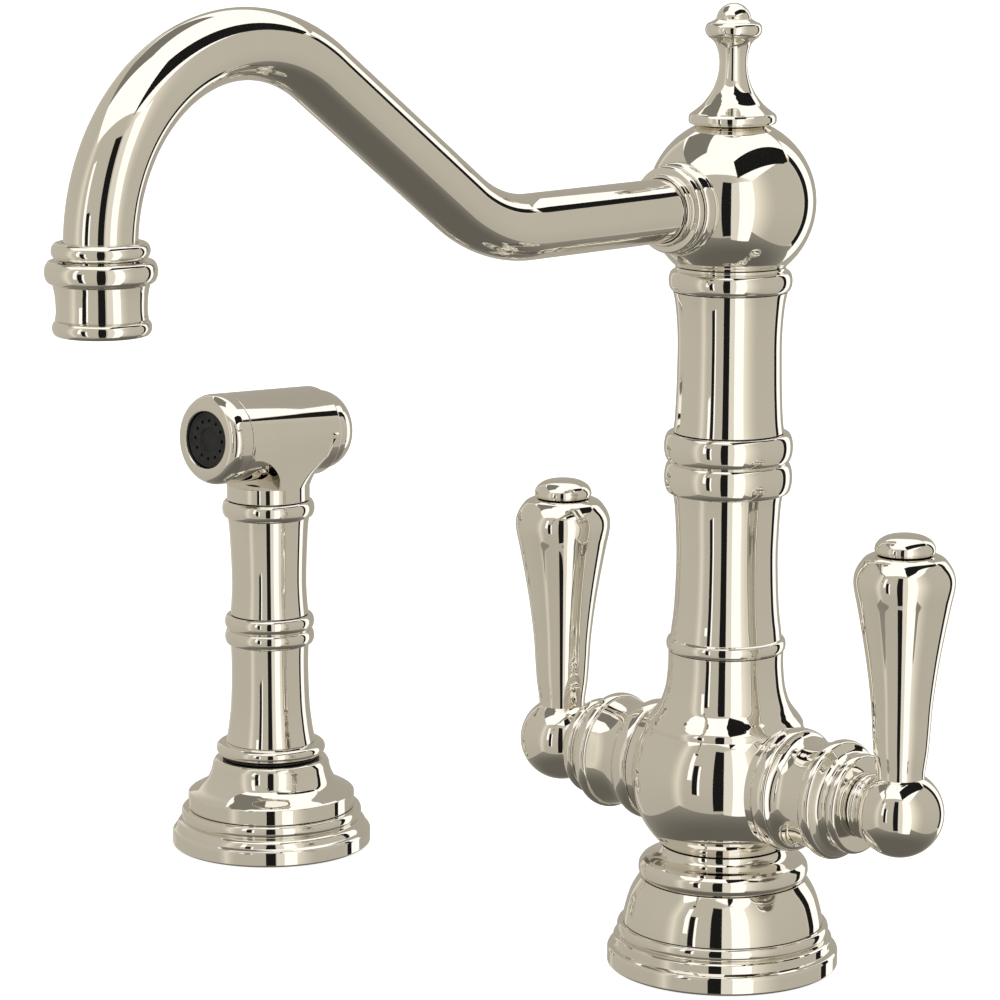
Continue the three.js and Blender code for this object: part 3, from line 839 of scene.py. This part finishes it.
def web_section(height):
    """One level section through the web between neck and barrel: flat front and sides and a rounded back."""
    rise = (height - WEB_BOTTOM) / (WEB_TOP - WEB_BOTTOM)
    half = NECK_R + (HEAD_R - NECK_R) * rise * rise * (3 - 2 * rise)
    front_rise = min(height - WEB_FOOT, FRONT_FILLET)
    front = math.sqrt(FRONT_FILLET ** 2 - front_rise ** 2) - WEB_FRONT
    rear_rise = min(height - REAR_FOOT, REAR_RISE)
    rear = NECK_R + REAR_FILLET - math.sqrt(REAR_FILLET ** 2 - rear_rise ** 2)
    middle = rear - (NECK_R + (REAR_ROUNDING - NECK_R) * rise)
    points = [(half * (1 - 2 * i / WEB_COUNT), front) for i in range(WEB_COUNT)]
    points += [(-half, front + (middle - front) * i / WEB_SIDE) for i in range(WEB_SIDE)]
    for i in range(2 * WEB_COUNT + 1):
        a = math.pi * (1 - i / (2 * WEB_COUNT))
        points.append((half * math.cos(a), middle + (rear - middle) * math.sin(a)))
    points += [(half, middle + (front - middle) * i / WEB_SIDE) for i in range(1, WEB_SIDE)]
    return points


def web_mesh():
    levels = [WEB_BOTTOM + (WEB_TOP - WEB_BOTTOM) * i / WEB_LEVELS for i in range(WEB_LEVELS + 1)]
    mesh = bmesh.new()
    rows = []
    for z in levels:
        rows.append([mesh.verts.new(((SPRAY_X + x) * MM, y * MM, z * MM)) for x, y in web_section(z)])
    count = len(rows[0])
    for low, high in zip(rows, rows[1:]):
        for k in range(count):
            j = (k + 1) % count
            mesh.faces.new([low[j], low[k], high[k], high[j]])
    mesh.faces.new(rows[0])
    mesh.faces.new(rows[-1][::-1])
    bmesh.ops.recalc_face_normals(mesh, faces=mesh.faces)
    data = bpy.data.meshes.new("web")
    mesh.to_mesh(data)
    mesh.free()
    data.shade_smooth()
    data.set_sharp_from_angle(angle=WEB_CREASE)
    return data


def make_web():
    web = bpy.data.objects.new("fine_spray_head_web", web_mesh())
    web.data.materials.append(MATERIALS["polished_nickel"])
    bpy.context.scene.collection.objects.link(web)
    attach(web, body_of("spray_head"))


def make_spray_head():
    at = (SPRAY_X, 0, HEAD_Z)
    barrel = [(14.6, -21), *arc(HEAD_R - 0.8, -20.2, 0.8, -90, 0, 8), (HEAD_R, 21.2)]
    hollow = [(14.2, -21), (14.2, -12), (9, -12), (9, 12), (10.3, 12), (10.3, 21.2)]
    neck = closed_outline(straight_bore(NECK_R, 122.2, 127.4), straight_bore(HANDLE_BORE, 122.2, 127.4))
    turned("spray_head", barrel, hollow, "head front", at, extra=[lathe(neck, True, "Z", (SPRAY_X, 0, 0))])
    make_web()

    rim = [(HEAD_R, 21.4), *arc(10.8, 24.8, HEAD_R - 10.8, 0, 88, 24), (10.1, 29.4), (9.75, 29.1)]
    turned("spray_face_ring", rim, straight_bore(9.7, 21.4, 28.8), "head front", at)
    make_spray_plate(at)

    skirt = [(13.95, 16.4), (13.95, 23.6)]
    dome = flow([(13.9, 24.6), (13.4, 26.9), (12.1, 29.2), (9.6, 31.0), (6.2, 32.1), (2.6, 32.45),
                 (0, 32.5)])
    turned("spray_button", [*skirt, *dome], None, "head rear", at)


def make_jet_pins(at):
    """The cutter for the plate's holes: a circle of round pins."""
    pins = bmesh.new()
    for i in range(JETS):
        a = 2 * math.pi * i / JETS
        jet = Vector((JET_CIRCLE * math.cos(a), JET_CIRCLE * math.sin(a), JET_MIDDLE))
        centre = (Vector(at) + AXES["head front"] @ jet) * MM
        spin = Matrix.Translation(centre) @ AXES["head front"].to_4x4()
        bmesh.ops.create_cone(pins, cap_ends=True, segments=JET_SEGMENTS, radius1=JET_R * MM,
                              radius2=JET_R * MM, depth=JET_DEPTH * MM, matrix=spin)
    data = bpy.data.meshes.new("jet_pins")
    pins.to_mesh(data)
    pins.free()
    cutter = bpy.data.objects.new("jet_pins", data)
    bpy.context.scene.collection.objects.link(cutter)
    return cutter


def make_spray_plate(at):
    """The black nozzle plate: a disc with a dished middle and a circle of small holes."""
    profile = [(0, 24.6), (PLATE_R, 24.6), (PLATE_R, 28.0), (8.7, 28.0), (8.4, 27.7), (4.2, 27.7),
               (3.8, 27.2), (0, 27.1)]
    shell = lathe(eased(profile, False, PLATE_EASE), False, "head front", at)
    piece = make_object("fine_spray_plate", [shell], MATERIALS["black_plastic"])
    cutter = make_jet_pins(at)
    drill = piece.modifiers.new("drill", "BOOLEAN")
    drill.operation = "DIFFERENCE"
    drill.solver = "EXACT"
    drill.object = cutter
    shape = bpy.data.meshes.new_from_object(piece.evaluated_get(bpy.context.evaluated_depsgraph_get()))
    piece.modifiers.clear()
    piece.data = shape
    shape.set_sharp_from_angle(angle=PLATE_CREASE)
    bpy.data.objects.remove(cutter)
    place(piece, "spray_plate")


# --- build ----------------------------------------------------------------------------------------

MATERIALS = {
    "polished_nickel": nickel(),
    "brass": brass(),
    "stainless": stainless(),
    "black_rubber": rubber(),
    "black_plastic": black_plastic(),
    "white_plastic": white_plastic(),
    "ceramic": ceramic(),
}


def dress_frame():
    """Every CAD node gets the material of its slot, whether it shows or not."""
    for name, part in frame["nodes"].items():
        part.data.materials.clear()
        part.data.materials.append(MATERIALS[slot_of(name)])


make_camera()
make_world()
make_room()
make_panels()
make_floor()
make_key_light()
dress_frame()
make_base()
make_mixer_body()
make_column()
make_spout_head()
make_spout_tube()
make_finial()
make_nozzle()
make_handle("hot", "-X", -1)
make_handle("cold", "+X", 1)
make_spray_holder()
make_spray_handle()
make_spray_head()

bpy.context.scene.view_settings.view_transform = "Standard"
bpy.context.scene.view_settings.look = "None"
